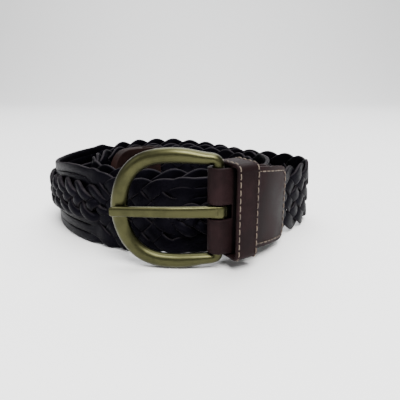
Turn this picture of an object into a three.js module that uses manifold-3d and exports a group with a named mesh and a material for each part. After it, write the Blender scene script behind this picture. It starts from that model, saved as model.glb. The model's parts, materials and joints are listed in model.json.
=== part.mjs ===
// A braided leather belt with a horseshoe buckle, coiled up and standing on its edge.
// Millimetres, Z up. The buckle faces -Y and its frame points to -X.

import * as THREE from 'three';
import Module from 'manifold-3d';

const wasm = await Module();
wasm.setup();

// Driving sizes.

// Gap left between two pieces that fit together.
const CLEARANCE = 0.3;

// The strap: width, thickness, and how much it grows where the fine braid bulges.
const STRAP_WIDTH = 34.5;
const STRAP_THICKNESS = 4.6;
const EYE_EXTRA_WIDTH = 3.5;
const EYE_THICKNESS = 8.8;
const EYE_GROOVE_DEPTH = 0.8;
const EDGE_DIP = 1.1;
const EDGE_PITCH = 12.7;
const WEAVE_RELIEF = 0.35;

// The coil's plan: its mean outer radius and the place of its centre.
const COIL_RADIUS = 70;
const COIL_CENTRE = new THREE.Vector2(0, 0);

// The leather tab round the heel bar.
const TAB_LENGTH = 43.4;
const TAB_OVERHANG = 0.75;
const TAB_WALL = 1.8;
const TAB_CORNER = 6;
const SLOT_REACH = 4.2;

// The keeper loop.
const KEEPER_WIDTH = 10.6;
const KEEPER_WALL = 1.6;
const KEEPER_START = 2.6;
const KEEPER_STAND_OFF = 3.4;
const KEEPER_SIDE_PLAY = 0.6;
const KEEPER_CORNER = 3;

// The buckle.
const BAR_RADIUS = 2.4;
const BAR_PLAY = 0.35;
const FRAME_REACH = 41;
const FRAME_SIDE_PLAY = 0.8;
const FRAME_WIDTH = 6.6;
const FRAME_DEPTH = 5.2;
const FRAME_ARCH = 1;
const FRAME_CORNER = 3;
const FRAME_TURN = -3.4;
const PRONG_WIDTH = 5;
const PRONG_THICKNESS = 2.8;
const PRONG_EYE_WALL = 1.5;
const PRONG_OVERRUN = -0.9;
const PRONG_TIP_SHARE = 0.84;
const PRONG_BEVEL = 0.7;

// The tab on the free end.
const END_TAB_LENGTH = 40;
const END_TAB_LAP = 12;
const END_TAB_WALL = 1.6;
const END_TAB_TIP = 4;

// How finely round shapes are cut.
const STEP = EDGE_PITCH / 4;
const FRAME_SIDES = 16;

// Sizes that follow from those above.
const TAB_WIDTH = STRAP_WIDTH + 2 * TAB_OVERHANG;
const LAYER_OFFSET =
  Math.max(STRAP_THICKNESS / 2 + CLEARANCE, BAR_RADIUS + BAR_PLAY) + TAB_WALL / 2;
const PRONG_EYE_RADIUS = BAR_RADIUS + BAR_PLAY + PRONG_EYE_WALL;

// The coil seen from above. turn is in degrees from the front, anticlockwise;
// reach is a share of COIL_RADIUS.
const COIL_ROWS = [
  { turn: 15.4, reach: 1.048 },
  { turn: 22.4, reach: 1.0275 },
  { turn: 31, reach: 0.9957 },
  { turn: 41.5, reach: 0.94 },
  { turn: 56.5, reach: 0.8947 },
  { turn: 67.2, reach: 0.93 },
  { turn: 76.2, reach: 0.984 },
  { turn: 87.6, reach: 1.02 },
  { turn: 96, reach: 0.99 },
  { turn: 105, reach: 0.945 },
  { turn: 114, reach: 0.865 },
  { turn: 128, reach: 0.785 },
  { turn: 152, reach: 0.81 },
  { turn: 176, reach: 0.92 },
  { turn: 200, reach: 1 },
  { turn: 224, reach: 1.01 },
  { turn: 247, reach: 1.003 },
  { turn: 268, reach: 0.99 },
  { turn: 288, reach: 0.918 },
  { turn: 308, reach: 0.858 },
  { turn: 330, reach: 0.815 },
  { turn: 352, reach: 0.8 },
  { turn: 375, reach: 0.79 },
  { turn: 398, reach: 0.785 },
  { turn: 420, reach: 0.742 },
  { turn: 445, reach: 0.705 },
  { turn: 468, reach: 0.685 },
  { turn: 492, reach: 0.675 },
  { turn: 518, reach: 0.69 },
  { turn: 542, reach: 0.75 },
  { turn: 566, reach: 0.79 },
  { turn: 590, reach: 0.79 },
  { turn: 614, reach: 0.735 },
  { turn: 638, reach: 0.675 },
  { turn: 660, reach: 0.615 },
  { turn: 684, reach: 0.54 },
  { turn: 708, reach: 0.475 },
  { turn: 735, reach: 0.475 },
  { turn: 760, reach: 0.54 },
  { turn: 785, reach: 0.595 },
  { turn: 812, reach: 0.575 },
  { turn: 842, reach: 0.55 },
  { turn: 870, reach: 0.56 },
  { turn: 898, reach: 0.6 },
  { turn: 925, reach: 0.635 },
  { turn: 950, reach: 0.645 },
  { turn: 972, reach: 0.635 },
];

// Where the strap's eye pattern swells, as turns of the coil in degrees.
const EYES = [
  { from: 226, to: 332 },
  { from: 355, to: 464 },
];

// The horseshoe's centre line and section, from the heel bar round to its middle. along is a
// share of FRAME_REACH, apart a share of the frame's half height, width a share of FRAME_WIDTH.
const FRAME_ROWS = [
  { along: 0.14, apart: 0.95, width: 0.78 },
  { along: 0.31, apart: 0.99, width: 0.94 },
  { along: 0.47, apart: 1, width: 0.98 },
  { along: 0.64, apart: 0.965, width: 0.97 },
  { along: 0.77, apart: 0.87, width: 1 },
  { along: 0.88, apart: 0.69, width: 1.02 },
  { along: 0.96, apart: 0.42, width: 1.05 },
  { along: 1, apart: 0, width: 1.1 },
];

// The prong's shank, from the eye to the tip. along is a share of its length, rise a share of the
// way from its place at the eye to its place on the frame, thin a share of its thickness.
const PRONG_ROWS = [
  { along: 0, rise: 0, thin: 0.5 },
  { along: 0.09, rise: 0, thin: 1 },
  { along: 0.25, rise: 0.55, thin: 1 },
  { along: 0.42, rise: 1, thin: 1 },
  { along: 0.95, rise: 1, thin: 1 },
  { along: 0.985, rise: 0.98, thin: 0.8 },
  { along: 1, rise: 0.9, thin: 0.45 },
];

// The frame's half height leaves the tab its side play between the arms at the heel.
const HEEL_ROW = FRAME_ROWS[0];
const FRAME_HALF_HEIGHT =
  (TAB_WIDTH / 2 + FRAME_SIDE_PLAY + (HEEL_ROW.width * FRAME_WIDTH) / 2) / HEEL_ROW.apart;
const BUCKLE_HEIGHT = 2 * FRAME_HALF_HEIGHT + FRAME_WIDTH * 0.98;

// The buckle is taller than the strap, so its lower arm stands on the floor and lifts the
// strap's first stretch, which comes down over RAMP_LENGTH.
const RAMP_LENGTH = 72;
const BUCKLE_CENTRE = BUCKLE_HEIGHT / 2;
const RAMP_HEIGHT = BUCKLE_CENTRE - STRAP_WIDTH / 2;

// General geometry.

// A closed solid through rings of points. All rings have the same number of points and run
// anticlockwise seen from the end of the sweep. A looped sweep joins its last ring to its first.
function loft(rings, looped = false) {
  const count = rings[0].length;
  const positions = rings.flat().flatMap((point) => [point.x, point.y, point.z]);
  const faces = [];
  const spans = looped ? rings.length : rings.length - 1;
  for (let i = 0; i < spans; i += 1) {
    const near = i * count;
    const far = ((i + 1) % rings.length) * count;
    for (let j = 0; j < count; j += 1) {
      const next = (j + 1) % count;
      faces.push(near + j, near + next, far + next);
      faces.push(near + j, far + next, far + j);
    }
  }
  if (!looped) {
    // A ring is two rows of points, out along one side and back along the other.
    const last = (rings.length - 1) * count;
    for (let j = 0; j < count / 2 - 1; j += 1) {
      const back = count - 1 - j;
      faces.push(j, back, j + 1);
      faces.push(j + 1, back, back - 1);
      faces.push(last + j, last + j + 1, last + back);
      faces.push(last + j + 1, last + back - 1, last + back);
    }
  }
  const geometry = new THREE.BufferGeometry();
  geometry.setAttribute('position', new THREE.Float32BufferAttribute(positions, 3));
  geometry.setIndex(faces);
  geometry.computeVertexNormals();
  return geometry;
}

function toManifold(geometry) {
  const seen = new Map();
  const vertices = [];
  const source = geometry.getAttribute('position');
  const corner = (i) => {
    const place = [source.getX(i), source.getY(i), source.getZ(i)];
    const key = place.map((value) => Math.round(value * 1e4)).join();
    if (!seen.has(key)) {
      seen.set(key, vertices.length / 3);
      vertices.push(...place);
    }
    return seen.get(key);
  };
  const order = geometry.index ? Array.from(geometry.index.array) : [...Array(source.count).keys()];
  const faces = [];
  for (let i = 0; i < order.length; i += 3) {
    const [a, b, c] = [corner(order[i]), corner(order[i + 1]), corner(order[i + 2])];
    if (a !== b && b !== c && c !== a) {
      faces.push(a, b, c);
    }
  }
  return new wasm.Manifold(
    new wasm.Mesh({
      numProp: 3,
      vertProperties: new Float32Array(vertices),
      triVerts: new Uint32Array(faces),
    }),
  );
}

function fromManifold(solid) {
  const mesh = solid.getMesh();
  const geometry = new THREE.BufferGeometry();
  geometry.setAttribute('position', new THREE.BufferAttribute(mesh.vertProperties, 3));
  geometry.setIndex(new THREE.BufferAttribute(mesh.triVerts, 1));
  geometry.computeVertexNormals();
  return geometry;
}

function cut(body, tool) {
  return fromManifold(toManifold(body).subtract(toManifold(tool)));
}

// Second derivatives of a natural cubic spline through the rows, by Thomas's method.
function splineBends(knots, values) {
  const last = knots.length - 1;
  const slope = (i) => (values[i + 1] - values[i]) / (knots[i + 1] - knots[i]);
  const upper = [0];
  const right = [0];
  for (let i = 1; i < last; i += 1) {
    const before = knots[i] - knots[i - 1];
    const after = knots[i + 1] - knots[i];
    const pivot = 2 * (before + after) - before * upper[i - 1];
    upper.push(after / pivot);
    right.push((6 * (slope(i) - slope(i - 1)) - before * right[i - 1]) / pivot);
  }
  const bends = new Array(knots.length).fill(0);
  for (let i = last - 1; i > 0; i -= 1) {
    bends[i] = right[i] - upper[i] * bends[i + 1];
  }
  return bends;
}

function smoothStep(share) {
  const x = THREE.MathUtils.clamp(share, 0, 1);
  return x * x * (3 - 2 * x);
}

// The coil.

const TURNS = COIL_ROWS.map((row) => row.turn);
const REACHES = COIL_ROWS.map((row) => row.reach * COIL_RADIUS);
const BENDS = splineBends(TURNS, REACHES);

function coilReach(turn) {
  const above = TURNS.findIndex((knot) => knot > turn);
  const i = above < 0 ? TURNS.length - 2 : Math.max(above - 1, 0);
  const span = TURNS[i + 1] - TURNS[i];
  const b = (turn - TURNS[i]) / span;
  const a = 1 - b;
  const curve = (a ** 3 - a) * BENDS[i] + (b ** 3 - b) * BENDS[i + 1];
  return a * REACHES[i] + b * REACHES[i + 1] + (curve * span * span) / 6;
}

function coilPoint(turn) {
  const angle = THREE.MathUtils.degToRad(turn);
  const reach = coilReach(turn);
  return new THREE.Vector2(reach * Math.sin(angle), -reach * Math.cos(angle)).add(COIL_CENTRE);
}

// The centre line walked in small steps: the turn and the length at each.
const WALK = [{ turn: TURNS[0], length: 0 }];
for (let turn = TURNS[0] + 1; turn <= TURNS[TURNS.length - 1]; turn += 1) {
  const before = WALK[WALK.length - 1];
  const length = before.length + coilPoint(turn).distanceTo(coilPoint(before.turn));
  WALK.push({ turn, length });
}
const COIL_LENGTH = WALK[WALK.length - 1].length;

function turnAt(length) {
  const above = WALK.findIndex((step) => step.length > length);
  const i = above < 0 ? WALK.length - 2 : Math.max(above - 1, 0);
  const share = (length - WALK[i].length) / (WALK[i + 1].length - WALK[i].length);
  return WALK[i].turn + share * (WALK[i + 1].turn - WALK[i].turn);
}

function lengthAt(turn) {
  return WALK.find((step) => step.turn >= turn).length;
}

// The strap's own axes at a length from the heel bar: along, and outward from the coil.
function coilFrame(length) {
  const turn = turnAt(length);
  const along = coilPoint(turn + 0.5).sub(coilPoint(turn - 0.5)).normalize();
  return {
    point: coilPoint(turn),
    along,
    outward: new THREE.Vector2(along.y, -along.x),
    lift: RAMP_HEIGHT * (1 - smoothStep(length / RAMP_LENGTH)),
  };
}

// A point of the strap: offset outward from the centre line, height above its lower edge.
function strapPoint(frame, offset, height) {
  const flat = frame.point.clone().addScaledVector(frame.outward, offset);
  return new THREE.Vector3(flat.x, flat.y, frame.lift + height);
}

// The braided strap.

const STRAP_START = PRONG_EYE_RADIUS + 3;
const STRAP_END = COIL_LENGTH - END_TAB_LENGTH + END_TAB_LAP;
const EYE_SPANS = EYES.map((eye) => ({ from: lengthAt(eye.from), to: lengthAt(eye.to) }));

// How open the eye pattern is at a length: 0 in the plain weave, 1 in the middle of an eye.
function eyeOpening(length) {
  const eye = EYE_SPANS.find((span) => length > span.from && length < span.to);
  if (!eye) {
    return 0;
  }
  const share = (length - eye.from) / (eye.to - eye.from);
  return Math.min(1, 1.6 * Math.sin(Math.PI * share));
}

// Across the width: height, swell of the fine braid and depth of the groove beside it, as shares.
const STRAP_LEVELS = [
  { height: 0, swell: 0, groove: 0.4 },
  { height: 0.16, swell: 0, groove: 0 },
  { height: 0.36, swell: 0, groove: 1 },
  { height: 0.48, swell: 0.85, groove: 0 },
  { height: 0.66, swell: 0.85, groove: 0 },
  { height: 0.77, swell: 0, groove: 1 },
  { height: 1, swell: 0, groove: 0.4 },
];

// Where the weave and the edge scallops start, clear of both leather tabs.
function isWoven(length) {
  return length > TAB_LENGTH + STEP && length < STRAP_END - END_TAB_LAP - STEP;
}

function strapRing(length) {
  const frame = coilFrame(length);
  const eye = eyeOpening(length);
  const wave = isWoven(length) ? 1 : 0;
  const width = STRAP_WIDTH + eye * EYE_EXTRA_WIDTH;
  const phase = (2 * Math.PI * length) / EDGE_PITCH;
  const side = (sign) =>
    STRAP_LEVELS.map((level, row) => {
      const edge = row === 0 || row === STRAP_LEVELS.length - 1;
      const swell = eye * level.swell * (EYE_THICKNESS - STRAP_THICKNESS) * 0.5;
      const groove = eye * level.groove * EYE_GROOVE_DEPTH;
      const relief = edge ? 0 : sign * WEAVE_RELIEF * Math.cos(phase + Math.PI * row);
      const dip = edge ? EDGE_DIP * 0.5 * (1 - Math.cos(phase + Math.PI * (row ? 1 : 0))) : 0;
      const lower = row === 0 && eye === 0 ? 0 : dip;
      const height = level.height * width + wave * (row === 0 ? lower : -dip);
      const offset = STRAP_THICKNESS / 2 + swell - groove + wave * relief;
      return strapPoint(frame, sign * offset, height);
    });
  return [...side(-1), ...side(1).reverse()];
}

function braidedStrap() {
  const steps = Math.round((STRAP_END - STRAP_START) / STEP);
  const rings = [];
  for (let i = 0; i <= steps; i += 1) {
    rings.push(strapRing(STRAP_START + ((STRAP_END - STRAP_START) * i) / steps));
  }
  return loft(rings);
}

// Leather tabs and keeper.

// The tab is one strip: in along the outer side, round the heel bar, back along the inner side.
function tabStations() {
  const centre = STRAP_WIDTH / 2;
  const half = TAB_WIDTH / 2;
  const stations = [];
  const corner = (gone) => {
    const left = Math.max(TAB_CORNER - gone, 0);
    return TAB_CORNER - Math.sqrt(TAB_CORNER ** 2 - left ** 2);
  };
  const add = (length, turned) => {
    const frame = coilFrame(Math.max(length, 0));
    const away = frame.outward.clone().rotateAround(new THREE.Vector2(), turned);
    stations.push({ frame, away, half: half - corner(TAB_LENGTH - length), centre });
  };
  const corners = [0, 0.25, 0.5, 0.75, 1].map(
    (share) => TAB_CORNER * (1 - Math.cos((share * Math.PI) / 2)),
  );
  const lengths = corners.map((gone) => TAB_LENGTH - gone);
  for (let length = TAB_LENGTH - TAB_CORNER - 4; length > 1; length -= 3) {
    lengths.push(length);
  }
  lengths.forEach((length) => add(length, 0));
  for (let i = 0; i <= 12; i += 1) {
    add(0, -(Math.PI * i) / 12);
  }
  lengths.reverse().forEach((length) => add(length, -Math.PI));
  return stations;
}

function buckleTab() {
  const ring = ({ frame, away, half, centre }) => {
    const at = (offset, height) => strapPoint({ ...frame, outward: away }, offset, height);
    const inner = LAYER_OFFSET - TAB_WALL / 2;
    const outer = LAYER_OFFSET + TAB_WALL / 2;
    return [
      at(inner, centre - half),
      at(outer, centre - half),
      at(outer, centre + half),
      at(inner, centre + half),
    ];
  };
  const strip = loft(tabStations().map(ring));
  const slotHeight = PRONG_WIDTH + 4 * CLEARANCE;
  const slotLength = PRONG_EYE_RADIUS + 2 + SLOT_REACH;
  const slot = new THREE.BoxGeometry(slotLength, 4 * LAYER_OFFSET, slotHeight);
  slot.translate(SLOT_REACH - slotLength / 2, 0, 0);
  const heel = coilFrame(0);
  slot.rotateZ(heel.along.angle());
  slot.translate(heel.point.x, heel.point.y, BUCKLE_CENTRE);
  return cut(strip, slot);
}

// The keeper is a band bent into a rounded rectangle that stands square to the strap.
function keeperLoop() {
  const frame = coilFrame(KEEPER_START + KEEPER_WIDTH / 2);
  const layer = LAYER_OFFSET + TAB_WALL / 2;
  const half = TAB_WIDTH / 2 + KEEPER_SIDE_PLAY + KEEPER_WALL;
  const front = layer + KEEPER_STAND_OFF + KEEPER_WALL;
  const back = -(layer + 4 * CLEARANCE + KEEPER_WALL);
  const centre = STRAP_WIDTH / 2;
  const corners = [
    { offset: front, height: centre + half, start: 0 },
    { offset: back, height: centre + half, start: 90 },
    { offset: back, height: centre - half, start: 180 },
    { offset: front, height: centre - half, start: 270 },
  ];
  const rings = corners.flatMap(({ offset, height, start }) => {
    const towards = Math.sign(offset);
    const up = Math.sign(height - centre);
    return [0, 1, 2, 3, 4].map((step) => {
      const angle = THREE.MathUtils.degToRad(start + step * 22.5);
      const at = (radius, side) => {
        const point = strapPoint(
          frame,
          offset - towards * KEEPER_CORNER + radius * Math.cos(angle),
          height - up * KEEPER_CORNER + radius * Math.sin(angle),
        );
        const shift = (side * KEEPER_WIDTH) / 2;
        return point.add(new THREE.Vector3(frame.along.x * shift, frame.along.y * shift, 0));
      };
      const inside = KEEPER_CORNER - KEEPER_WALL;
      return [at(inside, 1), at(inside, -1), at(KEEPER_CORNER, -1), at(KEEPER_CORNER, 1)];
    });
  });
  return loft(rings, true);
}

// The end tab laps over the strap's end on both faces and closes beyond it.
function endTab() {
  const start = COIL_LENGTH - END_TAB_LENGTH;
  const full = STRAP_THICKNESS / 2 + CLEARANCE + END_TAB_WALL;
  const block = (from, to, thickness, halfHeight) => {
    const steps = Math.round((to - from) / 3);
    const rings = [];
    for (let i = 0; i <= steps; i += 1) {
      const length = from + ((to - from) * i) / steps;
      const frame = coilFrame(length);
      const deep = thickness(length);
      const tall = halfHeight(length);
      const at = (offset, height) => strapPoint(frame, offset, STRAP_WIDTH / 2 + height);
      rings.push([at(-deep, -tall), at(-deep, tall), at(deep, tall), at(deep, -tall)]);
    }
    return loft(rings);
  };
  const tip = (length) => smoothStep((length - STRAP_END) / (END_TAB_LENGTH - END_TAB_LAP));
  const rounding = STRAP_WIDTH / 2;
  const outline = (length) => {
    const left = Math.max(length - (COIL_LENGTH - rounding), 0);
    return 1.2 + (rounding - 1.2) * Math.sqrt(Math.max(0, 1 - (left / rounding) ** 2));
  };
  const body = block(
    start,
    COIL_LENGTH,
    (length) => full + (END_TAB_TIP / 2 - full) * tip(length),
    outline,
  );
  const pocket = block(
    start - STEP,
    STRAP_END + CLEARANCE,
    () => STRAP_THICKNESS / 2 + CLEARANCE,
    () => STRAP_WIDTH,
  );
  return cut(body, pocket);
}

// The buckle, in its own axes: X runs against the frame, -Y is its front, Z up.

// Half of the frame's centre line, from the middle of the heel bar to the middle of the bow.
function frameHalf() {
  const rows = FRAME_ROWS.map((row) => ({
    x: -row.along * FRAME_REACH,
    z: row.apart * FRAME_HALF_HEIGHT,
    width: row.width * FRAME_WIDTH,
  }));
  const armHeight = rows[0].z;
  const stations = [{ x: 0, z: armHeight - FRAME_CORNER, width: 2 * BAR_RADIUS }];
  for (let i = 1; i <= 3; i += 1) {
    const angle = (Math.PI / 2) * (i / 4);
    stations.push({
      x: -FRAME_CORNER * (1 - Math.cos(angle)),
      z: armHeight - FRAME_CORNER * (1 - Math.sin(angle)),
      width: 2 * BAR_RADIUS + (rows[0].width - 2 * BAR_RADIUS) * (i / 4),
    });
  }
  const mirrored = rows.slice(0, -1).map((row) => ({ ...row, z: -row.z }));
  const points = [...rows, ...mirrored.reverse()].map((row) => new THREE.Vector3(row.x, row.width, row.z));
  const curve = new THREE.CatmullRomCurve3(points, false, 'centripetal');
  const samples = 56;
  for (let i = 0; i <= samples / 2; i += 1) {
    const point = curve.getPoint(i / samples);
    stations.push({ x: point.x, z: point.z, width: point.y });
  }
  return stations;
}

function buckleFrame() {
  const half = frameHalf();
  const other = half.slice(0, -1).map((station) => ({ ...station, z: -station.z })).reverse();
  const stations = [...half, ...other];
  const count = stations.length;
  const rings = stations.map((station, i) => {
    const before = stations[(i + count - 1) % count];
    const after = stations[(i + 1) % count];
    const onBar = station.x === 0;
    const along = onBar
      ? new THREE.Vector2(0, 1)
      : new THREE.Vector2(after.x - before.x, after.z - before.z).normalize();
    const depth = onBar ? 2 * BAR_RADIUS : Math.min(FRAME_DEPTH, station.width);
    const arch = FRAME_ARCH * Math.sin((Math.PI * -station.x) / FRAME_REACH);
    const ring = [];
    for (let j = 0; j < FRAME_SIDES; j += 1) {
      const angle = (2 * Math.PI * j) / FRAME_SIDES;
      const across = (station.width / 2) * Math.cos(angle);
      const deep = (depth / 2) * Math.sin(angle);
      ring.push(
        new THREE.Vector3(station.x + along.y * across, deep - arch, station.z - along.x * across),
      );
    }
    return ring;
  });
  return loft(rings, true);
}

function buckleProng() {
  const bore = BAR_RADIUS + BAR_PLAY;
  const half = PRONG_WIDTH / 2;
  const bevel = PRONG_BEVEL;
  const profile = [
    [bore, half - bevel],
    [bore, bevel - half],
    [bore + bevel, -half],
    [PRONG_EYE_RADIUS - bevel, -half],
    [PRONG_EYE_RADIUS, bevel - half],
    [PRONG_EYE_RADIUS, half - bevel],
    [PRONG_EYE_RADIUS - bevel, half],
    [bore + bevel, half],
    [bore, half - bevel],
  ];
  const eye = new THREE.LatheGeometry(profile.map(([x, y]) => new THREE.Vector2(x, y)), 28);
  eye.rotateX(Math.PI / 2);

  const bow = FRAME_ROWS[FRAME_ROWS.length - 1];
  const end = FRAME_REACH + (bow.width * FRAME_WIDTH) / 2 + PRONG_OVERRUN;
  const rest = FRAME_DEPTH / 2 + CLEARANCE + PRONG_THICKNESS;
  const rings = PRONG_ROWS.map((row) => {
    const over = PRONG_EYE_RADIUS + (rest - PRONG_EYE_RADIUS) * row.rise;
    const under = over - PRONG_THICKNESS * row.thin;
    const side = half * (1 - (1 - PRONG_TIP_SHARE) * row.along) * (row.along === 1 ? 0.7 : 1);
    const chamfer = bevel * row.thin;
    const corners = [
      [under, -side + chamfer],
      [under + chamfer, -side],
      [over - chamfer, -side],
      [over, -side + chamfer],
      [over, side - chamfer],
      [over - chamfer, side],
      [under + chamfer, side],
      [under, side - chamfer],
    ];
    return corners.map(([out, z]) => new THREE.Vector3(-row.along * end, -out, z));
  });
  return fromManifold(toManifold(eye).add(toManifold(loft(rings))));
}

// Materials and assembly.

const braidLeather = () =>
  new THREE.MeshStandardMaterial({ name: 'braid_leather', color: 0x26211f, roughness: 0.6, metalness: 0 });
const tabLeather = () =>
  new THREE.MeshStandardMaterial({ name: 'tab_leather', color: 0x38231d, roughness: 0.55, metalness: 0 });
const oldBrass = () =>
  new THREE.MeshStandardMaterial({ name: 'old_brass', color: 0x8d7a45, roughness: 0.35, metalness: 1 });

function piece(name, geometry, material) {
  const mesh = new THREE.Mesh(geometry, material);
  mesh.name = name;
  return mesh;
}

const group = new THREE.Group();
group.name = 'braided_belt';
group.add(piece('braided_strap', braidedStrap(), braidLeather()));
group.add(piece('buckle_tab', buckleTab(), tabLeather()));
group.add(piece('keeper_loop', keeperLoop(), tabLeather()));
group.add(piece('end_tab', endTab(), tabLeather()));

const buckle = new THREE.Group();
buckle.name = 'buckle';
buckle.add(piece('buckle_frame', buckleFrame(), oldBrass()));
buckle.add(piece('buckle_prong', buckleProng(), oldBrass()));
const heel = coilFrame(0).point;
buckle.position.set(heel.x, heel.y, BUCKLE_CENTRE);
buckle.rotation.z = THREE.MathUtils.degToRad(FRAME_TURN);
group.add(buckle);

// The whole belt stands on z = 0 with its plan box centred on the axis.
group.updateMatrixWorld(true);
const box = new THREE.Box3().setFromObject(group, true);
const centre = box.getCenter(new THREE.Vector3());
group.position.set(-centre.x, -centre.y, -box.min.z);

export default group;
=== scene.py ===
"""A coiled braided leather belt: laces, hide tabs, stitching and an old brass buckle."""

import json
import math

import bmesh
import bpy
import numpy as np
from mathutils import Matrix, Vector


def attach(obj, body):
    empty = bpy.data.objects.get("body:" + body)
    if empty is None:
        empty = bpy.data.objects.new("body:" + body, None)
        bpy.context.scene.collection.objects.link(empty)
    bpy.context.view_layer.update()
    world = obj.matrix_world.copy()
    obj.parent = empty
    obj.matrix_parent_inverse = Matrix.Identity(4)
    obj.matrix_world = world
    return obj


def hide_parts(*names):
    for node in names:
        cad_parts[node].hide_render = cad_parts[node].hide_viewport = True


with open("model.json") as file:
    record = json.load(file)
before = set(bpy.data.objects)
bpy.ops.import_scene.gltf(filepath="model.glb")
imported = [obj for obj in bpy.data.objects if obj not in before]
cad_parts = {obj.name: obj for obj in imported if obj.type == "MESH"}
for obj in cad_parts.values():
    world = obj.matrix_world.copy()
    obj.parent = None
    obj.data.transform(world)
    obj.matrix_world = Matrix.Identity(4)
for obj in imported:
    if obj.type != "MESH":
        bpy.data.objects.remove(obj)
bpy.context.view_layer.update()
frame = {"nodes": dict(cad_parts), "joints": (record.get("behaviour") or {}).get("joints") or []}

MM = 0.001

# Sizes in millimetres, the same as in the part's source. Faces, fronts and backs are offsets from
# the strap's middle, outward from the coil.
STRAP_WIDTH = 34.5
TAB_LENGTH = 43.4
TAB_WIDTH = 36.0
TAB_CORNER = 6.0
TAB_FACE = 4.55
COIL_RADIUS = 70.0
RAMP_LENGTH = 72.0
BUCKLE_CENTRE = frame["joints"][0]["pos_m"][2] / MM
RAMP_HEIGHT = BUCKLE_CENTRE - STRAP_WIDTH / 2
FRAME_TURN = -3.4
BAR_RADIUS = 2.4
PRONG_WIDTH = 5.0
PRONG_THICKNESS = 2.8
PRONG_EYE = 4.25
PRONG_EYE_THICKNESS = 1.5
PRONG_PLAY = 0.35
PRONG_END = 43.73
PRONG_REST = 5.7
KEEPER_WIDTH = 10.6
KEEPER_MIDDLE = 7.9
KEEPER_FRONT = 9.55
KEEPER_BACK = -7.35
KEEPER_HALF = 20.2
KEEPER_CORNER = 3.0
END_TAB_LENGTH = 40.0
END_TAB_LAP = 12.0

# The coil in plan: turn in degrees from the front, and reach as a share of COIL_RADIUS.
COIL_ROWS = (
    (15.4, 1.048), (22.4, 1.0275), (31, 0.9957), (41.5, 0.94), (56.5, 0.8947), (67.2, 0.93),
    (76.2, 0.984), (87.6, 1.02), (96, 0.99), (105, 0.945), (114, 0.865), (128, 0.785),
    (152, 0.81), (176, 0.92), (200, 1.0), (224, 1.01), (247, 1.003), (268, 0.99),
    (288, 0.918), (308, 0.858), (330, 0.815), (352, 0.8), (375, 0.79), (398, 0.785),
    (420, 0.742), (445, 0.705), (468, 0.685), (492, 0.675), (518, 0.69), (542, 0.75),
    (566, 0.79), (590, 0.79), (614, 0.735), (638, 0.675), (660, 0.615), (684, 0.54),
    (708, 0.475), (735, 0.475), (760, 0.54), (785, 0.595), (812, 0.575), (842, 0.55),
    (870, 0.56), (898, 0.6), (925, 0.635), (950, 0.645), (972, 0.635),
)

# The weave: seven laces in a flat braid, opened twice into bands with a fine braid between.
LACES = 7
LACE_START = 8.0
LACE_PITCH = 12.8
LACE_WIDTH = 6.9
LACE_THICKNESS = 1.7
LACE_DEPTH = 1.15
BAND_WIDTH = 4.6
BAND_THICKER = 0.5
BEHIND_OFFSET = 2.6
BEHIND_WIDER = 1.1
TURNING_WIDER = 7.0
EDGE_ROUND = 0.5
FIRST_STEP = 100.5
STEP_ROUND = 5.0
# The closed node between the two openings: its crossings, ease, rounding and lowered foot.
NODE_STEPS = 7
NODE_EASE = 10.0
NODE_ROUND = 0.5
NODE_FOOT_DROP = 1.1
# Turns of the coil at which the weave opens and closes.
OPEN_TURNS = (225.3, 323.5, 357.7, 463.0)
OPENING_EASE = 12.0
CLOSING_EASE = 9.0
# Height and offset of the seven laces, lowest first, in each open stretch of a strap this tall.
LANES_TALL = 38.0
FIRST_LANES = (
    (2.4, 0), (7.1, 0), (11.8, 0), (17.3, -2.6), (24.8, -2.6), (31.0, 0), (35.6, 0),
)
SECOND_LANES = (
    (2.4, 0), (7.1, 0), (13.2, -2.6), (20.2, -2.6), (26.2, 0), (30.9, 0), (35.6, 0),
)
# Turn of the coil, and how tall the strap is there.
TALL_ROWS = (
    (60, 34.6), (82, 35.0), (104, 34.2), (133, 33.8), (160, 34.8), (173, 35.5), (190, 36.4),
    (207, 35.9), (217, 35.3), (240, 34.0), (262, 33.2), (277, 33.6), (287, 35.2), (299, 37.6),
    (310, 38.2), (320, 37.2), (328, 35.6), (334, 35.0), (357, 35.0), (400, 36.0), (440, 36.0),
    (463, 34.8),
)
# The fine braid in the openings.
FINE_LACES = 4
FINE_PITCH = 9.4
FINE_WIDTH = 4.9
FINE_THICKNESS = 3.0
FINE_EASE = 14.0
# The flat lace hidden behind the crossing.
TUCKED_WIDTH = 6.4
TUCKED_THICKNESS = 1.2
TUCKED_OFFSET = -3.0
TUCKED_HEIGHT = 10.6

# The stitches: how far apart, how far in from the edges, half the thread's width, and one stitch's
# shape: its half length as a share of the pitch, where its points lie and how far they rise.
STITCH_PITCH = 3.2
STITCH_INSET = 2.0
KEEPER_INSET = 0.95
THREAD = 0.26
STITCH_SPAN = 0.37
STITCH_POINTS = np.array([-1, -0.85, -0.4, 0.4, 0.85, 1])
STITCH_RISES = np.array([-0.35, 0.0, 0.18, 0.18, 0.0, -0.35])

# Colours, dark and light, or first and second.
LACE_FACE_TONES = (0.0006, 0.0005, 0.0011), (0.0018, 0.0015, 0.0029)
LACE_EDGE_TONES = (0.0040, 0.0034, 0.0040), (0.026, 0.0225, 0.025)
TAB_TONES = (0.0052, 0.0024, 0.0027), (0.0115, 0.0052, 0.0058)
END_TAB_TONES = (0.0042, 0.0017, 0.0014), (0.0085, 0.0034, 0.0028)
THREAD_TONES = (0.125, 0.095, 0.071), (0.052, 0.039, 0.030)
BRASS_TONES = (0.048, 0.0475, 0.0215), (0.034, 0.0340, 0.0160)
BRASS_RUBBED = (0.16, 0.152, 0.076)


# The coil.

TURNS, REACHES = np.array(COIL_ROWS, dtype=float).T
REACHES = REACHES * COIL_RADIUS


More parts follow.
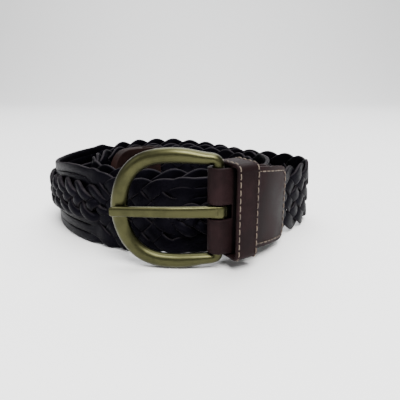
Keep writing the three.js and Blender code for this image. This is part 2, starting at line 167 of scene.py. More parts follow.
def spline_bends(knots, values):
    """Second derivatives of a natural cubic spline."""
    count = len(knots)
    system = np.eye(count)
    right = np.zeros(count)
    for i in range(1, count - 1):
        before = knots[i] - knots[i - 1]
        after = knots[i + 1] - knots[i]
        system[i, i - 1:i + 2] = before, 2 * (before + after), after
        right[i] = 6 * ((values[i + 1] - values[i]) / after - (values[i] - values[i - 1]) / before)
    return np.linalg.solve(system, right)


BENDS = spline_bends(TURNS, REACHES)


def coil_plan(turn):
    """Plan places of the strap's centre line at the given turns."""
    turn = np.asarray(turn, dtype=float)
    i = np.clip(np.searchsorted(TURNS, turn, side="right") - 1, 0, len(TURNS) - 2)
    span = TURNS[i + 1] - TURNS[i]
    b = (turn - TURNS[i]) / span
    a = 1 - b
    curve = (a ** 3 - a) * BENDS[i] + (b ** 3 - b) * BENDS[i + 1]
    reach = a * REACHES[i] + b * REACHES[i + 1] + curve * span * span / 6
    angle = np.radians(turn)
    return np.stack([reach * np.sin(angle), -reach * np.cos(angle)], axis=-1)


HEEL = np.array(frame["joints"][0]["pos_m"][:2]) / MM
SHIFT = HEEL - coil_plan(TURNS[0])
WALK_TURNS = np.arange(TURNS[0], TURNS[-1] + 0.001, 1.0)
WALK_STEPS = np.linalg.norm(np.diff(coil_plan(WALK_TURNS), axis=0), axis=1)
WALK_LENGTHS = np.concatenate([[0.0], np.cumsum(WALK_STEPS)])
STRAP_END = WALK_LENGTHS[-1] - END_TAB_LENGTH + END_TAB_LAP
FIRST_OPENS, FIRST_CLOSES, SECOND_OPENS, SECOND_CLOSES = np.interp(
    OPEN_TURNS, WALK_TURNS, WALK_LENGTHS
)


def smooth(share):
    """Eases a share in and out, held between 0 and 1."""
    x = np.clip(share, 0.0, 1.0)
    return x * x * (3 - 2 * x)


def strap_axes(length):
    """Plan place, direction along, direction outward and lift of the strap at each length."""
    turn = np.interp(length, WALK_LENGTHS, WALK_TURNS)
    along = coil_plan(turn + 0.5) - coil_plan(turn - 0.5)
    along /= np.linalg.norm(along, axis=-1, keepdims=True)
    outward = np.stack([along[..., 1], -along[..., 0]], axis=-1)
    lift = RAMP_HEIGHT * (1 - smooth(np.asarray(length) / RAMP_LENGTH))
    return coil_plan(turn) + SHIFT, along, outward, lift


def on_strap(length, offset, height):
    """Places at a length along the strap, an offset outward and a height above its edge."""
    plan, _, outward, lift = strap_axes(length)
    flat = plan + outward * np.asarray(offset, dtype=float)[..., None]
    return np.concatenate([flat, (lift + height)[..., None]], axis=-1)


def outward_at(length):
    """The direction outward from the coil in space, at each length."""
    outward = strap_axes(length)[2]
    return np.concatenate([outward, np.zeros(outward.shape[:-1] + (1,))], axis=-1)


def strap_height(length):
    """How tall the strap is at each length."""
    turns, heights = np.array(TALL_ROWS, dtype=float).T
    return np.interp(np.interp(length, WALK_LENGTHS, WALK_TURNS), turns, heights)


# Meshes.

def unit(vectors):
    return vectors / np.linalg.norm(vectors, axis=-1, keepdims=True)


def lengths_along(points):
    """How far along a line each of its points lies."""
    steps = np.linalg.norm(np.diff(points, axis=0), axis=1)
    return np.concatenate([[0.0], np.cumsum(steps)])


def flat_section(width, thickness, sides, fullness):
    """A flat strip's section with soft corners, from the middle of one cut edge round."""
    angle = 2 * np.pi * np.arange(sides) / sides
    cos, sin = np.cos(angle), np.sin(angle)
    a = np.sign(cos) * np.abs(cos) ** (2 / fullness)
    b = np.sign(sin) * np.abs(sin) ** (2 / fullness)
    width = np.asarray(width, dtype=float)[..., None]
    thickness = np.asarray(thickness, dtype=float)[..., None]
    return np.stack([a * width / 2, b * thickness / 2], axis=-1)


def sweep(mesh, places, across, through, section, looped=False, start=0.0):
    """Adds a closed tube to the bmesh: rings of the section at the places, in millimetres.

    The section is one ring of (across, through) pairs, or one ring for each place. The UV map
    runs in metres along the tube, from start, and from 0 to 1 round it.
    """
    rings = len(places)
    section = np.broadcast_to(section, (rings,) + np.shape(section)[-2:])
    sides = section.shape[1]
    spots = (
        places[:, None, :]
        + section[..., 0, None] * across[:, None, :]
        + section[..., 1, None] * through[:, None, :]
    ) * MM
    if looped:
        spots = np.concatenate([spots, spots[:1]])
    rows = len(spots) - 1
    made = bmesh.ops.create_grid(mesh, x_segments=rows, y_segments=sides, size=1, calc_uvs=True)
    seam = []
    for vert in made["verts"]:
        i = round((vert.co.x + 1) / 2 * rows)
        j = round((vert.co.y + 1) / 2 * sides)
        vert.co = Vector(spots[i, j % sides])
        if j % sides == 0 or (looped and i in (0, rows)):
            seam.append(vert)
    run = float(np.linalg.norm(np.diff(places, axis=0), axis=1).sum()) * MM
    uv = mesh.loops.layers.uv.active
    faces = {face for vert in made["verts"] for face in vert.link_faces}
    for face in faces:
        for loop in face.loops:
            loop[uv].uv.x = start + loop[uv].uv.x * run
    bmesh.ops.remove_doubles(mesh, verts=seam, dist=1e-7)
    if not looped:
        kept = [face for face in faces if face.is_valid]
        ends = {edge for face in kept for edge in face.edges if edge.is_boundary}
        faces.update(bmesh.ops.holes_fill(mesh, edges=list(ends), sides=0)["faces"])
    bmesh.ops.recalc_face_normals(mesh, faces=[face for face in faces if face.is_valid])


def new_mesh():
    """An empty bmesh with the UV map that the sweeps fill."""
    mesh = bmesh.new()
    mesh.loops.layers.uv.new("run")
    return mesh


def finish_piece(name, mesh, material, body, replaces=()):
    """Turns the bmesh into a piece that rides on a body and takes a slot's finish."""
    data = bpy.data.meshes.new(name)
    mesh.to_mesh(data)
    mesh.free()
    data.polygons.foreach_set("use_smooth", [True] * len(data.polygons))
    piece = bpy.data.objects.new(name, data)
    bpy.context.scene.collection.objects.link(piece)
    data.materials.append(material)
    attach(piece, body)
    if replaces:
        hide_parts(*replaces)
    return piece


def merged_copy(node):
    """A bmesh of a CAD node with its loose triangles joined up."""
    mesh = new_mesh()
    mesh.from_mesh(frame["nodes"][node].data)
    mesh.transform(frame["nodes"][node].matrix_world)
    bmesh.ops.remove_doubles(mesh, verts=mesh.verts, dist=2e-6)
    return mesh


# Nodes for the finishes.

def connect(tree, value, socket):
    """Links a value's socket, or sets a number, or a colour given as three numbers."""
    if hasattr(value, "is_linked"):
        tree.links.new(value, socket)
    elif isinstance(value, tuple):
        socket.default_value = (*value, 1)
    else:
        socket.default_value = value


def new_material(name):
    """A material with a Principled shader on its output."""
    material = bpy.data.materials.new(name)
    material.use_nodes = True
    tree = material.node_tree
    tree.nodes.clear()
    output = tree.nodes.new("ShaderNodeOutputMaterial")
    shader = tree.nodes.new("ShaderNodeBsdfPrincipled")
    tree.links.new(shader.outputs["BSDF"], output.inputs["Surface"])
    return material, tree, shader


def new_group(name, inputs, outputs):
    """A node group with named inputs and outputs."""
    group = bpy.data.node_groups.new(name, "ShaderNodeTree")
    for label, kind in inputs:
        group.interface.new_socket(name=label, in_out="INPUT", socket_type=kind)
    for label, kind in outputs:
        group.interface.new_socket(name=label, in_out="OUTPUT", socket_type=kind)
    return group, group.nodes.new("NodeGroupInput"), group.nodes.new("NodeGroupOutput")


def add_group(tree, group, **values):
    """Places a group in a tree with its inputs linked or set, and gives its outputs."""
    node = tree.nodes.new("ShaderNodeGroup")
    node.node_tree = group
    for name, value in values.items():
        connect(tree, value, node.inputs[name])
    return node.outputs


def math_node(tree, operation, first, second):
    node = tree.nodes.new("ShaderNodeMath")
    node.operation = operation
    connect(tree, first, node.inputs[0])
    connect(tree, second, node.inputs[1])
    return node.outputs[0]


def ranged(tree, value, low, high, to_low=0.0, to_high=1.0):
    """The value, eased from one range to another."""
    node = tree.nodes.new("ShaderNodeMapRange")
    node.interpolation_type = "SMOOTHSTEP"
    for name, given in (
        ("Value", value), ("From Min", low), ("From Max", high), ("To Min", to_low),
        ("To Max", to_high),
    ):
        connect(tree, given, node.inputs[name])
    return node.outputs["Result"]


def blend_colours(tree, share, first, second):
    node = tree.nodes.new("ShaderNodeMix")
    node.data_type = "RGBA"
    for name, value in (("Factor", share), ("A", first), ("B", second)):
        connect(tree, value, node.inputs[name])
    return node.outputs["Result"]


def noise_node(tree, place, scale, detail, rough=0.55):
    node = tree.nodes.new("ShaderNodeTexNoise")
    for name, value in (
        ("Vector", place), ("Scale", scale), ("Detail", detail), ("Roughness", rough),
    ):
        connect(tree, value, node.inputs[name])
    return node.outputs["Fac"]


def stretched(tree, place, along_x, along_y, along_z):
    """A place scaled along its three axes."""
    node = tree.nodes.new("ShaderNodeMapping")
    node.inputs["Scale"].default_value = along_x, along_y, along_z
    tree.links.new(place, node.inputs["Vector"])
    return node.outputs["Vector"]


def object_place(tree):
    return tree.nodes.new("ShaderNodeTexCoord").outputs["Object"]


def run_map(tree):
    """The sweeps' UV map: metres along, and 0 to 1 round."""
    node = tree.nodes.new("ShaderNodeUVMap")
    node.uv_map = "run"
    return node.outputs["UV"]


def add_bump(tree, shader, height, strength, distance):
    bump = tree.nodes.new("ShaderNodeBump")
    bump.inputs["Strength"].default_value = strength
    bump.inputs["Distance"].default_value = distance
    tree.links.new(height, bump.inputs["Height"])
    tree.links.new(bump.outputs["Normal"], shader.inputs["Normal"])


# Finishes.

def hide_grain():
    """Leather: pores and creases as a height, and a slow mottle."""
    group, given, result = new_group(
        "hide_grain",
        (("Place", "NodeSocketVector"), ("Crease", "NodeSocketFloat")),
        (("Height", "NodeSocketFloat"), ("Mottle", "NodeSocketFloat")),
    )
    place = given.outputs["Place"]
    cells = group.nodes.new("ShaderNodeTexVoronoi")
    cells.feature = "DISTANCE_TO_EDGE"
    cells.inputs["Scale"].default_value = 1500
    group.links.new(place, cells.inputs["Vector"])
    pores = ranged(group, cells.outputs["Distance"], 0.0, 0.25)
    fine = noise_node(group, place, 2600, 2.0)
    slow = noise_node(group, place, 220, 4.0, 0.6)
    creases = math_node(group, "MULTIPLY", slow, given.outputs["Crease"])
    height = math_node(group, "ADD", math_node(group, "MULTIPLY", pores, 0.5), creases)
    height = math_node(group, "ADD", height, math_node(group, "MULTIPLY", fine, 0.3))
    group.links.new(height, result.inputs["Height"])
    group.links.new(noise_node(group, place, 60, 5.0, 0.62), result.inputs["Mottle"])
    return group


def edge_wear():
    """Wear where the surface bends outward, from 0 at the start of a bend to 1 where it is full."""
    group, given, result = new_group(
        "edge_wear",
        (("Start", "NodeSocketFloat"), ("Full", "NodeSocketFloat")),
        (("Wear", "NodeSocketFloat"),),
    )
    bend = group.nodes.new("ShaderNodeNewGeometry").outputs["Pointiness"]
    wear = ranged(group, bend, given.outputs["Start"], given.outputs["Full"])
    group.links.new(wear, result.inputs["Wear"])
    return group


GRAIN = hide_grain()
EDGE_WEAR = edge_wear()


def lace_leather():
    """Nearly black lace with paler, rougher cut edges and a dull sheen."""
    material, tree, shader = new_material("lace_leather")
    run = run_map(tree)
    parts = tree.nodes.new("ShaderNodeSeparateXYZ")
    tree.links.new(run, parts.inputs["Vector"])
    from_edge = math_node(tree, "PINGPONG", parts.outputs["Y"], 0.25)
    cut = ranged(tree, from_edge, 0.07, 0.115, 1.0, 0.0)
    streaks = noise_node(tree, stretched(tree, run, 120, 9, 1), 3.0, 4.0, 0.65)
    hide = add_group(tree, GRAIN, Place=object_place(tree), Crease=0.5)
    face = blend_colours(tree, ranged(tree, hide["Mottle"], 0.36, 0.66), *LACE_FACE_TONES)
    edge = blend_colours(tree, ranged(tree, streaks, 0.35, 0.7), *LACE_EDGE_TONES)
    worn = math_node(tree, "MULTIPLY", cut, ranged(tree, hide["Mottle"], 0.3, 0.6, 0.5, 1.0))
    tree.links.new(blend_colours(tree, worn, face, edge), shader.inputs["Base Color"])
    rough = ranged(tree, streaks, 0.3, 0.75, 0.36, 0.54)
    rough = math_node(tree, "ADD", rough, math_node(tree, "MULTIPLY", cut, 0.2))
    tree.links.new(rough, shader.inputs["Roughness"])
    shader.inputs["Specular IOR Level"].default_value = 0.045
    shader.inputs["Specular Tint"].default_value = (0.80, 0.76, 1.0, 1)
    height = math_node(tree, "ADD", hide["Height"], math_node(tree, "MULTIPLY", streaks, 0.6))
    add_bump(tree, shader, height, 0.35, 0.00012)
    return material


# Painted shade: a mask for the recess between the buckle's fold and the keeper.
def gap_shade_share(tree, place):
    """1 between the buckle's fold and the keeper, where painted shade darkens the recessed hide,
    else 0.
    """
    plan, along, _, _ = strap_axes(0.0)
    reach = tree.nodes.new("ShaderNodeVectorMath")
    reach.operation = "DOT_PRODUCT"
    tree.links.new(place, reach.inputs[0])
    reach.inputs[1].default_value = (*along, 0)
    gone = math_node(tree, "SUBTRACT", reach.outputs["Value"], float(plan @ along) * MM)
    starts = ranged(tree, gone, 0.0034, 0.0050)
    return math_node(tree, "MULTIPLY", starts, ranged(tree, gone, 0.0120, 0.0135, 1.0, 0.0))


def smooth_hide(name, tones, rough, with_painted_shade=False):
    """Smooth hide for the tabs and the keeper, paler on its rubbed edges, with painted shade
    between the buckle's fold and the keeper if asked.
    """
    material, tree, shader = new_material(name)
    place = object_place(tree)
    hide = add_group(tree, GRAIN, Place=place, Crease=0.5)
    wear = add_group(tree, EDGE_WEAR, Start=0.52, Full=0.6)["Wear"]
    dark, light = tones
    paler = tuple(2.0 * value for value in light)
    face = blend_colours(tree, ranged(tree, hide["Mottle"], 0.34, 0.66), dark, light)
    share = math_node(tree, "MULTIPLY", wear, ranged(tree, hide["Mottle"], 0.4, 0.6, 0.2, 0.8))
    colour = blend_colours(tree, share, face, paler)
    # Painted shade: the hide between the buckle's fold and the keeper goes near black, where shade
    # falls in the recess.
    if with_painted_shade:
        black = tuple(0.12 * value for value in dark)
        colour = blend_colours(tree, gap_shade_share(tree, place), colour, black)
    tree.links.new(colour, shader.inputs["Base Color"])
    roughness = ranged(tree, hide["Mottle"], 0.3, 0.7, rough, rough + 0.14)
    tree.links.new(roughness, shader.inputs["Roughness"])
    shader.inputs["Specular IOR Level"].default_value = 0.055
    add_bump(tree, shader, hide["Height"], 0.3, 0.00012)
    return material


def waxed_thread():
    """Pale brown thread, twisted, a little dirty."""
    material, tree, shader = new_material("waxed_thread")
    twist = tree.nodes.new("ShaderNodeTexWave")
    twist.bands_direction = "DIAGONAL"
    twist.inputs["Scale"].default_value = 1.0
    tree.links.new(stretched(tree, run_map(tree), 1500, 2, 1), twist.inputs["Vector"])
    soil = ranged(tree, noise_node(tree, object_place(tree), 300, 4.0), 0.35, 0.7)
    tree.links.new(blend_colours(tree, soil, *THREAD_TONES), shader.inputs["Base Color"])
    shader.inputs["Roughness"].default_value = 0.75
    add_bump(tree, shader, twist.outputs["Fac"], 0.4, 0.0001)
    return material


def old_brass():
    """Aged brass: olive patina, rubbed brighter on its high places, with fine scratches."""
    material, tree, shader = new_material("old_brass")
    place = object_place(tree)
    cloud = noise_node(tree, place, 90, 6.0, 0.65)
    specks = noise_node(tree, place, 900, 3.0, 0.6)
    scratch = noise_node(tree, stretched(tree, place, 1, 1, 14), 260, 2.0, 0.7)
    wear = add_group(tree, EDGE_WEAR, Start=0.505, Full=0.62)["Wear"]
    aged = blend_colours(tree, ranged(tree, cloud, 0.4, 0.66), *BRASS_TONES)
    colour = blend_colours(tree, math_node(tree, "MULTIPLY", wear, 0.6), aged, BRASS_RUBBED)
    tree.links.new(colour, shader.inputs["Base Color"])
    shader.inputs["Metallic"].default_value = 1.0
    rough = ranged(tree, cloud, 0.35, 0.7, 0.30, 0.40)
    rough = math_node(tree, "ADD", rough, ranged(tree, specks, 0.45, 0.75, 0.0, 0.07))
    tree.links.new(rough, shader.inputs["Roughness"])
    add_bump(tree, shader, math_node(tree, "ADD", specks, scratch), 0.03, 0.00005)
    return material


LACE = lace_leather()
KEEPER_HIDE = smooth_hide("tab_hide", TAB_TONES, 0.50)
END_TAB_HIDE = smooth_hide("dark_hide", END_TAB_TONES, 0.52)
# The buckle tab's hide, with painted shade in the recess between its fold and the keeper.
BUCKLE_TAB_HIDE = smooth_hide("tab_hide_gap_shaded", TAB_TONES, 0.50, with_painted_shade=True)
WAXED_THREAD = waxed_thread()
BRASS = old_brass()


# The weave.

def soft_ramp(x, rounding):
    """Zero below, x above, and a smooth bend between."""
    bend = (x + rounding) ** 2 / (4 * rounding)
    return np.where(x < -rounding, 0.0, np.where(x > rounding, x, bend))


def braid_progress(length):
    """Half pitches gone by. It stands still, midway between crossings, where the weave is open."""
    steps = 2 / LACE_PITCH
    node = NODE_STEPS / (SECOND_OPENS - FIRST_CLOSES)
    before = -steps * soft_ramp(FIRST_OPENS - length, STEP_ROUND)
    into_node = soft_ramp(length - FIRST_CLOSES, STEP_ROUND)
    out_of_node = soft_ramp(length - SECOND_OPENS, STEP_ROUND)
    after = steps * soft_ramp(length - SECOND_CLOSES, STEP_ROUND)
    return FIRST_STEP + before + node * (into_node - out_of_node) + after


def open_share(length, opens, closes):
    """1 where the weave is open, 0 where it is closed, eased between."""
    into_opening = smooth((length - opens - 1) / OPENING_EASE)
    return into_opening * smooth((closes + 1 - length) / CLOSING_EASE)


def sway_along(noise, length, spacing):
    """A slow uneven sway along the strap, with one random draw at each spacing."""
    spots = np.arange(0, 900, spacing)
    return np.interp(length, spots, noise.normal(0, 1, len(spots)))


def braid_route(progress, count, rounding=EDGE_ROUND):
    """A lace's lane, softened level and side in a flat braid of count laces."""
    cycle = np.mod(progress, 2 * count)
    rising = cycle < count
    level = np.where(rising, cycle, 2 * count - cycle)
    low = np.sqrt(level ** 2 + rounding ** 2) - level
    high = np.sqrt((count - level) ** 2 + rounding ** 2) - (count - level)
    at_edge = np.minimum(1.0, np.minimum(level, count - level))
    side = np.where(rising, 1, -1) * np.cos(np.pi * np.clip(level, 1, count - 1))
    lane = np.clip(level.astype(int), 0, count - 1)
    return lane, level + low - high, side * np.sin(np.pi / 2 * at_edge)


def lace_sweep(mesh, length, offset, height, roll, section, start):
    """Sweeps one lace along its route on the strap."""
    places = on_strap(length, offset, height)
    tangent = unit(np.gradient(places, axis=0))
    out = outward_at(length)
    across = unit(np.cross(out, tangent))
    through = np.cross(tangent, across)
    cos, sin = np.cos(roll)[:, None], np.sin(roll)[:, None]
    wide = cos * across + sin * through
    sweep(mesh, places, wide, np.cross(tangent, wide), section, start=start)


def weave(mesh):
    """The seven laces, from the buckle tab to the end tab."""
    noise = np.random.default_rng(7)
    length = np.arange(LACE_START, STRAP_END - 0.2, 1.0)
    first = open_share(length, FIRST_OPENS, FIRST_CLOSES)
    second = open_share(length, SECOND_OPENS, SECOND_CLOSES)
    opened = first + second
    tall = strap_height(length)
    node = smooth((length - FIRST_CLOSES + NODE_EASE) / NODE_EASE)
    node = node * smooth((SECOND_OPENS + NODE_EASE - length) / NODE_EASE)
    rounding = EDGE_ROUND + NODE_ROUND * node
    rise = (tall - LACE_WIDTH) / (LACES - 2 * rounding)
    for lace in range(LACES):
        lane, level, side = braid_route(braid_progress(length) + 2 * lace, LACES, rounding)
        height = tall / 2 + rise * (level - LACES / 2)
        offset = LACE_DEPTH * side
        for share, lanes in ((first, FIRST_LANES), (second, SECOND_LANES)):
            heights, offsets = np.array(lanes, dtype=float).T
            height = height + share * (heights[lane] * tall / LANES_TALL - height)
            offset = offset + share * (offsets[lane] - offset)
        sway = sway_along(noise, length, 9.0)
        behind = smooth(-offset / BEHIND_OFFSET - 0.4) * opened
        narrowed = opened ** 2 * (BAND_WIDTH - LACE_WIDTH) * (1 - behind)
        width = LACE_WIDTH + narrowed + 0.1 * sway
        width = width + BEHIND_WIDER * behind + TURNING_WIDER * opened * (1 - opened)
        thickness = LACE_THICKNESS + BAND_THICKER * opened
        height = height - NODE_FOOT_DROP * node * smooth((1.6 - level) / 1.2)
        height = np.maximum(height, width / 2 + 0.1)
        roll = 0.05 * sway * (1 - 0.6 * opened)
        section = flat_section(width, thickness, 12, 4.5)
        lace_sweep(mesh, length, offset, height, roll, section, lace * 1.7)


def fine_braid(mesh, opens, closes, share, tall, seed):
    """Four plump laces plaited in an opening, with their middle at a share of the strap's height.

    The braid comes from behind the bands, swells to its full height and goes back behind them.
    """
    noise = np.random.default_rng(seed)
    length = np.arange(opens, closes, 0.7)
    swell = smooth((length - opens) / FINE_EASE) * smooth((closes - length) / FINE_EASE)
    middle = share * strap_height(length)
    rise = (tall * (0.5 + 0.5 * swell) - FINE_WIDTH) / (FINE_LACES - 2 * EDGE_ROUND)
    for lace in range(FINE_LACES):
        _, level, side = braid_route(2 * length / FINE_PITCH + 2 * lace, FINE_LACES)
        sway = sway_along(noise, length, 5.0)
        width = (FINE_WIDTH + 0.15 * sway) * (0.8 + 0.2 * swell)
        height = middle + rise * (level - FINE_LACES / 2) + 0.15 * sway
        offset = -1.8 + swell * 4.0 + (0.8 + 0.6 * swell) * side
        section = flat_section(width, np.full_like(width, FINE_THICKNESS), 12, 2.2)
        lace_sweep(mesh, length, offset, height, 0.12 * sway, section, 20 + lace)


def tucked_lace(mesh, start, end):
    """A flat lace that lies hidden behind the weave and closes the gaps of a crossing."""
    length = np.arange(start, end, 1.5)
    offset = np.full_like(length, TUCKED_OFFSET)
    height = np.full_like(length, TUCKED_HEIGHT)
    section = flat_section(TUCKED_WIDTH, TUCKED_THICKNESS, 12, 4.5)
    lace_sweep(mesh, length, offset, height, np.zeros_like(length), section, 30)


def strap_pieces():
    """The woven laces that stand for the strap's solid, and the fine braid between them."""
    laces = new_mesh()
    weave(laces)
    finish_piece("woven_laces", laces, LACE, "strap", ("braided_strap",))
    plaits = new_mesh()
    fine_braid(plaits, FIRST_OPENS - 2, FIRST_CLOSES + 9, 0.57, 18.5, 3)
    fine_braid(plaits, SECOND_OPENS - 4, SECOND_CLOSES + 2, 0.47, 16.0, 5)
    tucked_lace(plaits, FIRST_CLOSES - 8, SECOND_OPENS + 28)
    finish_piece("fine_braid", plaits, LACE, "strap")


# The hide pieces and their stitches.

def soft_copy(name, node, bevel, material):
    """A CAD hide piece on the strap, with its sharp edges worn round."""
    mesh = merged_copy(node)
    bmesh.ops.dissolve_limit(
        mesh, angle_limit=math.radians(0.5), use_dissolve_boundaries=False,
        verts=mesh.verts, edges=mesh.edges,
    )
    sharp = [
        edge for edge in mesh.edges
        if edge.is_manifold and edge.calc_face_angle(0) > math.radians(35)
    ]
    bmesh.ops.bevel(
        mesh, geom=sharp, offset=bevel * MM, offset_type="OFFSET", segments=3, profile=0.5,
        affect="EDGES", material=-1, clamp_overlap=True,
    )
    piece = finish_piece(name, mesh, material, "strap", (node,))
    piece.data.set_sharp_from_angle(angle=math.radians(50))


def stitch_row(mesh, places, normals):
    """Short stitches along a line of places on a surface with the given normals."""
    gone = lengths_along(places)
    count = max(1, int(gone[-1] / STITCH_PITCH))
    section = flat_section(2 * THREAD, 1.5 * THREAD, 6, 2.0)
    for i in range(count):
        along = (i + 0.5 + STITCH_SPAN * STITCH_POINTS) * gone[-1] / count
        spots = np.stack([np.interp(along, gone, places[:, axis]) for axis in range(3)], axis=-1)
        up = np.stack([np.interp(along, gone, normals[:, axis]) for axis in range(3)], axis=-1)
        up = unit(up)
        spots = spots + up * STITCH_RISES[:, None]
        tangent = unit(np.gradient(spots, axis=0))
        across = unit(np.cross(up, tangent))
        sweep(mesh, spots, across, np.cross(tangent, across), section)


def line_on_strap(points, offset, step=0.8):
    """A polyline of (length, height) on one face of the strap, cut finely, and its normals."""
    points = np.array(points, dtype=float)
    gone = lengths_along(points)
    at = np.linspace(0, gone[-1], max(3, int(gone[-1] / step)))
    length = np.interp(at, gone, points[:, 0])
    height = np.interp(at, gone, points[:, 1])
    deep = np.full_like(length, offset)
    return on_strap(length, deep, height), outward_at(length) * np.sign(offset)


def rounded_end(start, end, low, high, radius):
    """Out along the top, round two corners and back along the bottom."""
    arc = np.radians(np.arange(0, 91, 15))
    top = [(end - radius + radius * math.sin(a), high - radius + radius * math.cos(a)) for a in arc]
    bottom = [(x, low + high - y) for x, y in reversed(top)]
    return [(start, high), *top, *bottom, (start, low)]


def keeper_line(shift):
    """Once round the keeper's outside, at a shift along the strap from its middle."""
    plan, along, outward, lift = strap_axes(KEEPER_MIDDLE)
    points, normals = [], []
    for across, up, start in ((1, 1, 0), (-1, 1, 90), (-1, -1, 180), (1, -1, 270)):
        offset = (KEEPER_FRONT if across > 0 else KEEPER_BACK) - across * KEEPER_CORNER
        height = STRAP_WIDTH / 2 + up * (KEEPER_HALF - KEEPER_CORNER)
        for turn in np.radians(np.arange(0, 91, 15) + start):
            deep = offset + KEEPER_CORNER * math.cos(turn)
            flat = plan + outward * deep + along * shift
            points.append((*flat, lift + height + KEEPER_CORNER * math.sin(turn)))
            normals.append((*(outward * math.cos(turn)), math.sin(turn)))
    points.append(points[0])
    normals.append(normals[0])
    return np.array(points), np.array(normals)


def hide_pieces():
    """The buckle tab, the keeper and the end tab, with the stitches of the first two."""
    soft_copy("tab_leather", "buckle_tab", 0.45, BUCKLE_TAB_HIDE)
    soft_copy("keeper_leather", "keeper_loop", 0.5, KEEPER_HIDE)
    soft_copy("end_tab_leather", "end_tab", 0.4, END_TAB_HIDE)
    stitches = new_mesh()
    low = STRAP_WIDTH / 2 - TAB_WIDTH / 2 + STITCH_INSET
    row = rounded_end(
        9.0, TAB_LENGTH - STITCH_INSET, low, STRAP_WIDTH - low, TAB_CORNER - STITCH_INSET
    )
    for face in (TAB_FACE, -TAB_FACE):
        stitch_row(stitches, *line_on_strap(row, face))
    for side in (-1, 1):
        stitch_row(stitches, *keeper_line(side * (KEEPER_WIDTH / 2 - KEEPER_INSET)))
    finish_piece("stitching", stitches, WAXED_THREAD, "strap")


# The buckle.

BUCKLE_PLACE = (
    Matrix.Translation((HEEL[0], HEEL[1], BUCKLE_CENTRE))
    @ Matrix.Rotation(math.radians(FRAME_TURN), 4, "Z")
)


def buckle_frame():
    """The CAD frame, smoothed."""
    mesh = merged_copy("buckle_frame")
    bmesh.ops.join_triangles(
        mesh, faces=mesh.faces, cmp_seam=False, cmp_sharp=False, cmp_uvs=False, cmp_vcols=False,
        cmp_materials=False, angle_face_threshold=math.radians(40),
        angle_shape_threshold=math.radians(60),
    )
    piece = finish_piece("brass_frame", mesh, BRASS, "frame", ("buckle_frame",))
    smoother = piece.modifiers.new("smooth", "SUBSURF")
    smoother.levels = 1
    smoother.render_levels = 1


def place_tube(mesh, path, across, through, section, looped=False):
    """Sweeps a tube given in the buckle's own axes."""
    turn = np.array(BUCKLE_PLACE.to_3x3())
    move = np.array(BUCKLE_PLACE.translation)
    sweep(mesh, path @ turn.T + move, across @ turn.T, through @ turn.T, section, looped)


def buckle_prong():
    """A flat bar that rests on the frame and is rolled into an eye round the heel bar."""
    mesh = new_mesh()
    # Along the prong from the eye: how far it has risen from the eye's height, and how thick it is.
    knots = np.array([0.0, 0.09, 0.25, 0.42, 0.95, 0.985, 1.0])
    rises = np.array([0.0, 0.0, 0.55, 1.0, 1.0, 0.98, 0.9])
    thins = np.array([0.5, 1.0, 1.0, 1.0, 1.0, 0.85, 0.5])
    at = np.concatenate([np.linspace(0.0, 0.95, 40), [0.965, 0.98, 0.99, 0.997, 1.0]])
    rise = np.interp(at, knots, rises)
    softened = np.convolve(np.pad(rise, 2, mode="edge"), np.ones(5) / 5, mode="valid")
    rise[1:40] = softened[1:40]
    over = PRONG_EYE + (PRONG_REST - PRONG_EYE) * rise
    thick = PRONG_THICKNESS * np.interp(at, knots, thins)
    tip = np.where(at > 0.98, 0.75 + 0.25 * (1 - at) / 0.02, 1.0)
    wide = PRONG_WIDTH * (1 - 0.16 * at) * tip
    path = np.stack([-at * PRONG_END, -(over - thick / 2), np.zeros_like(at)], axis=-1)
    across = np.tile([0.0, 0.0, 1.0], (len(at), 1))
    through = np.tile([0.0, -1.0, 0.0], (len(at), 1))
    place_tube(mesh, path, across, through, flat_section(wide, thick, 24, 3.0))
    angle = np.linspace(0, 2 * np.pi, 40, endpoint=False)
    radius = (BAR_RADIUS + PRONG_PLAY + PRONG_EYE) / 2
    eye = np.stack([radius * np.cos(angle), radius * np.sin(angle), np.zeros_like(angle)], axis=-1)
    upward = np.tile([0.0, 0.0, 1.0], (len(angle), 1))
    section = flat_section(PRONG_WIDTH, PRONG_EYE_THICKNESS, 20, 3.5)
    place_tube(mesh, eye, upward, unit(eye), section, True)
    finish_piece("brass_prong", mesh, BRASS, "prong", ("buckle_prong",))


# Floor, light and camera.

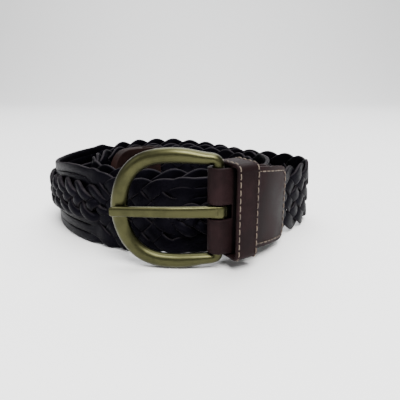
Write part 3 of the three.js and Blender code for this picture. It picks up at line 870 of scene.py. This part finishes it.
def studio_floor():
    """A pale floor that curves up far behind the belt."""
    straight = 1.2
    bend = 0.6
    floor = bmesh.new()
    bmesh.ops.create_grid(floor, x_segments=2, y_segments=64, size=3)
    for vert in floor.verts:
        past = vert.co.y - straight
        if past > 0:
            turn = min(past / bend, math.pi / 2)
            vert.co.y = straight + bend * math.sin(turn)
            vert.co.z = bend * (1 - math.cos(turn)) + max(0.0, past - bend * math.pi / 2)
    bmesh.ops.recalc_face_normals(floor, faces=floor.faces)
    data = bpy.data.meshes.new("floor")
    floor.to_mesh(data)
    floor.free()
    data.polygons.foreach_set("use_smooth", [True] * len(data.polygons))
    plane = bpy.data.objects.new("floor", data)
    bpy.context.scene.collection.objects.link(plane)
    plane.location.z = -0.0002
    material, _, shader = new_material("pale_floor")
    shader.inputs["Base Color"].default_value = (0.9, 0.9, 0.9, 1)
    shader.inputs["Roughness"].default_value = 0.9
    shader.inputs["Specular IOR Level"].default_value = 0.1
    data.materials.append(material)


def studio_lights():
    """A white world and three soft lights: name, place, size, watts and tint."""
    world = bpy.data.worlds.new("studio")
    world.use_nodes = True
    background = world.node_tree.nodes["Background"]
    background.inputs["Color"].default_value = (1.0, 1.0, 1.0, 1)
    background.inputs["Strength"].default_value = 0.4
    bpy.context.scene.world = world
    for name, place, size, power, tint in (
        ("key", (0.15, -0.6, 0.85), 0.5, 22, (1.0, 0.99, 0.97)),
        ("side", (-0.8, -0.4, 0.6), 0.6, 2, (0.96, 0.98, 1.0)),
        ("top", (0.1, 0.6, 1.5), 1.6, 55, (0.98, 0.99, 1.0)),
    ):
        data = bpy.data.lights.new(name, "AREA")
        data.size = size
        data.energy = power
        data.color = tint
        light = bpy.data.objects.new(name, data)
        light.location = place
        towards = Vector((0, 0, 0.02)) - Vector(place)
        light.rotation_euler = towards.to_track_quat("-Z", "Y").to_euler()
        bpy.context.scene.collection.objects.link(light)


def studio_camera():
    """The camera, set in front of the coil and looking down on it."""
    right, back, high = 12, 226, 76
    dip = 16.5
    view = bpy.data.cameras.new("camera")
    view.lens = 36
    view.sensor_width = 36
    view.clip_start = 0.005
    camera = bpy.data.objects.new("camera", view)
    camera.location = ((right + SHIFT[0]) * MM, (SHIFT[1] - back) * MM, high * MM)
    camera.rotation_euler = (math.radians(90 - dip), 0, 0)
    bpy.context.scene.collection.objects.link(camera)
    bpy.context.scene.camera = camera


strap_pieces()
hide_pieces()
buckle_frame()
buckle_prong()
studio_floor()
studio_lights()
studio_camera()
